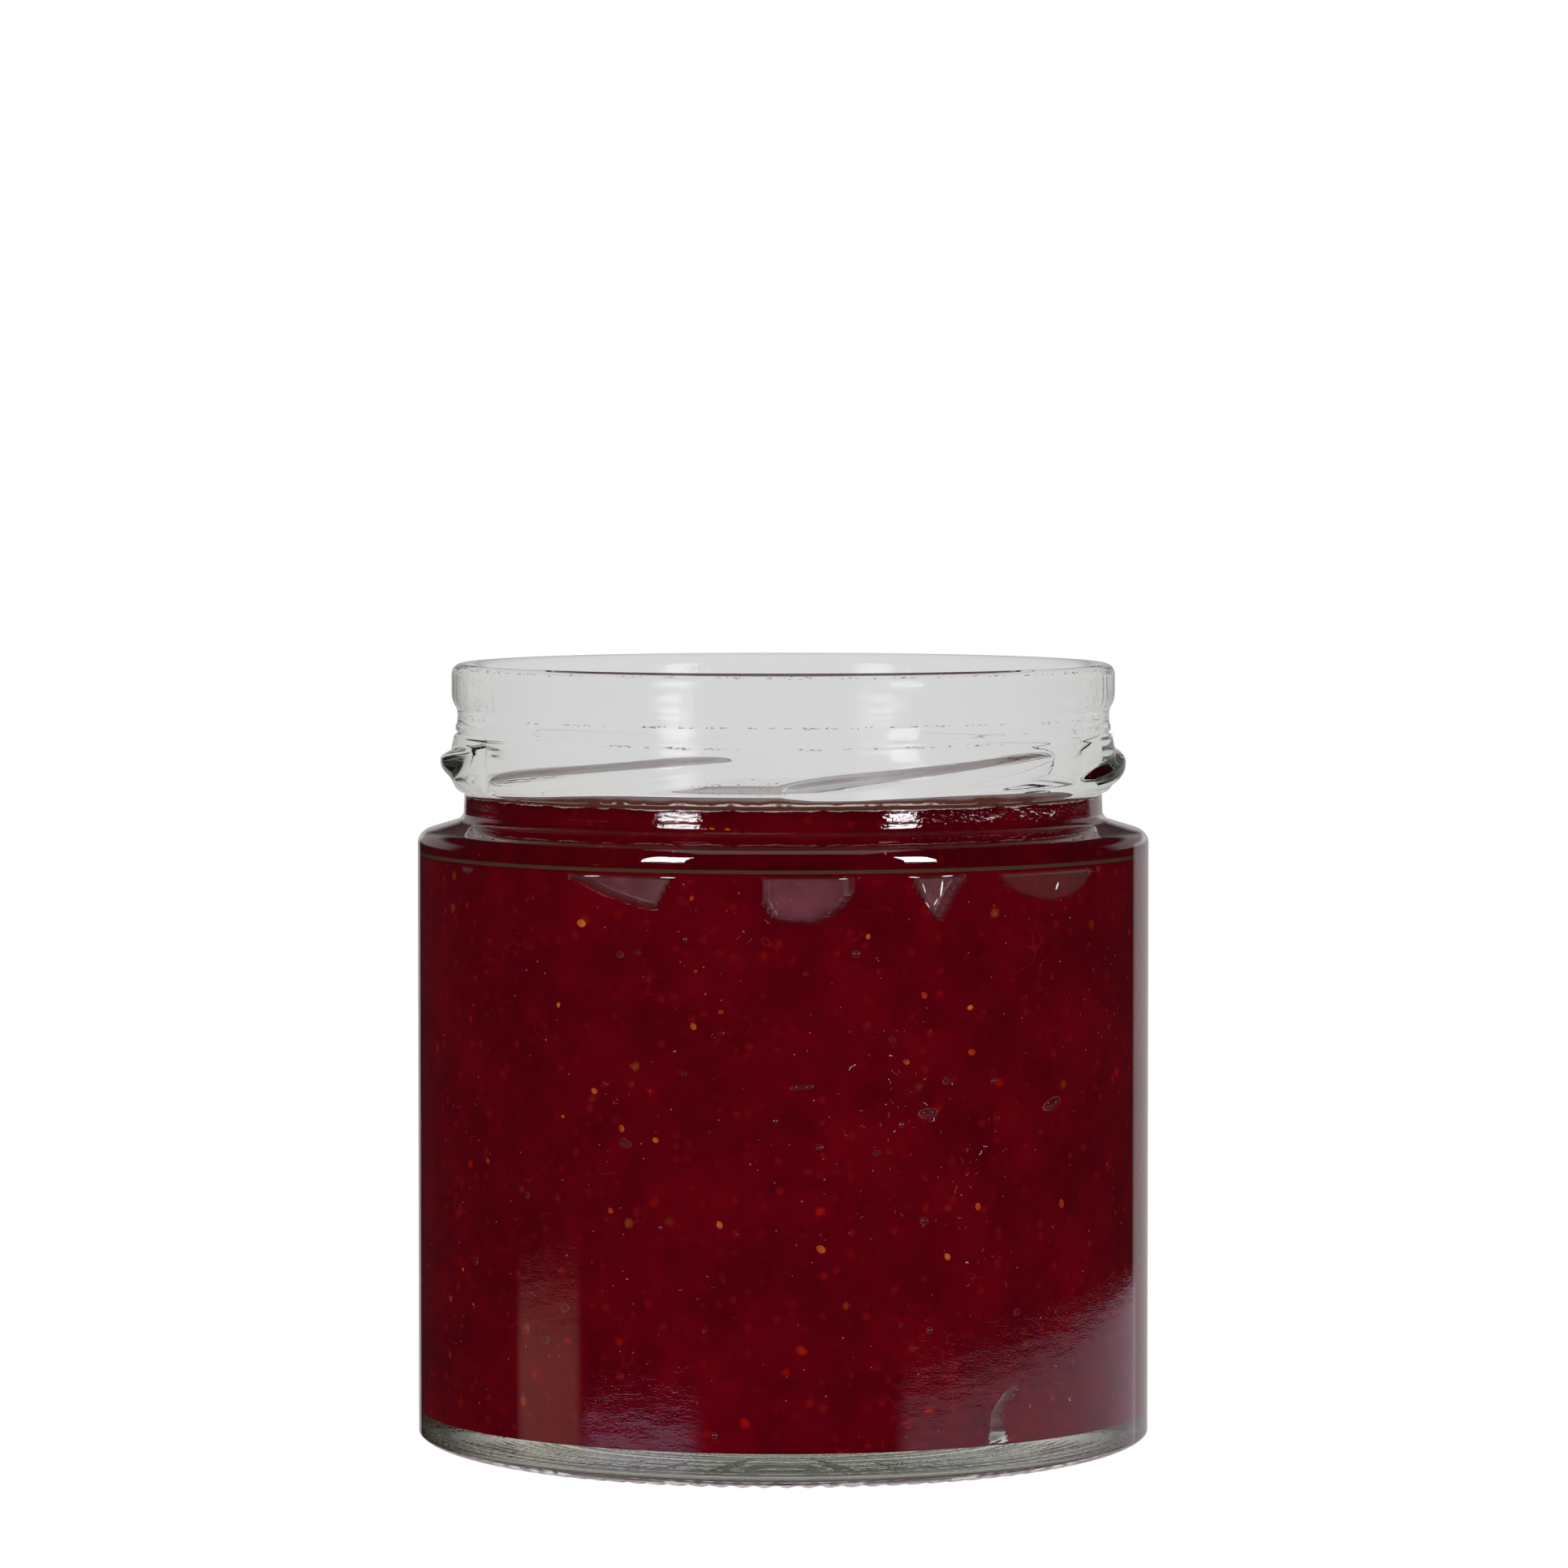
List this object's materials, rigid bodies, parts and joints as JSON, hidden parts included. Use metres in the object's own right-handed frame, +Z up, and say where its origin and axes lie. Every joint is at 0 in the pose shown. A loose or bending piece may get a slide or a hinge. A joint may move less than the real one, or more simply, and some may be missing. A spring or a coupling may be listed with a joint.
{
  "type": "jam jar",
  "caption": "Open clear glass twist-off jar with straight sides and six thread lugs, filled up to the neck with dark red berry jam, with no lid and no label.",
  "frame": {"origin": "centre of the bottom of the jar's bounding box: on the resting plane, on the jar's own axis", "axes": "+Z up along the jar's axis towards the mouth, -Y towards the front, between two thread lugs"},
  "size_m": [0.086, 0.086, 0.0925],
  "materials": {
    "glass": "clear, pressed and blown",
    "jam": "wet, glossy, translucent food"
  },
  "bodies": {
    "root": {"jar": "glass", "jam": "jam"}
  },
  "joints": []
}
